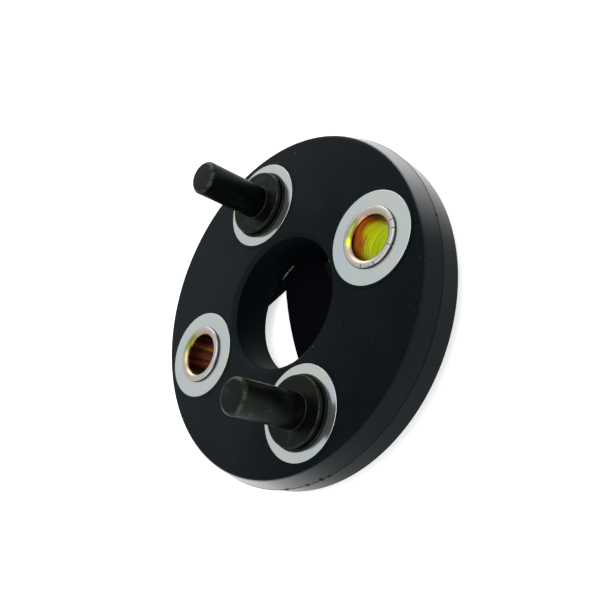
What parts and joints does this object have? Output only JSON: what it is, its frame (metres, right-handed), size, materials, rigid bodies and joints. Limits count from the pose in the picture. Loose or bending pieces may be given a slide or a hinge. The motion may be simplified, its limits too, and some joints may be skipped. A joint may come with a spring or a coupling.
{
  "type": "disc coupling",
  "caption": "Round rubber disc coupling with steel bushes and shouldered drive pins; joins two shaft flanges and takes up small misalignment.",
  "frame": {"origin": "on the shaft axis, at the yoke plate's flat rear face, which the part rests on", "axes": "+Z along the shaft axis towards the pins' free ends, +X through the right bush, +Y through the upper pin"},
  "size_m": [0.1046, 0.1046, 0.0409],
  "materials": {
    "moulded_rubber": "satin moulded black rubber",
    "black_steel": "satin black",
    "zinc_steel": "bright zinc plate",
    "yellow_zinc": "yellow passivated zinc plate",
    "phosphated_steel": "dark phosphate and oil"
  },
  "bodies": {
    "root": {"rubber_disc": "moulded_rubber", "yoke_plate": "black_steel", "front_washer_right": "zinc_steel", "front_washer_left": "zinc_steel", "front_washer_upper": "zinc_steel", "front_washer_lower": "zinc_steel", "rear_washer_right": "zinc_steel", "rear_washer_left": "zinc_steel", "rear_washer_upper": "zinc_steel", "rear_washer_lower": "zinc_steel", "bush_right": "yellow_zinc", "bush_left": "yellow_zinc", "drive_pin_upper": "phosphated_steel", "drive_pin_lower": "phosphated_steel"}
  },
  "joints": []
}
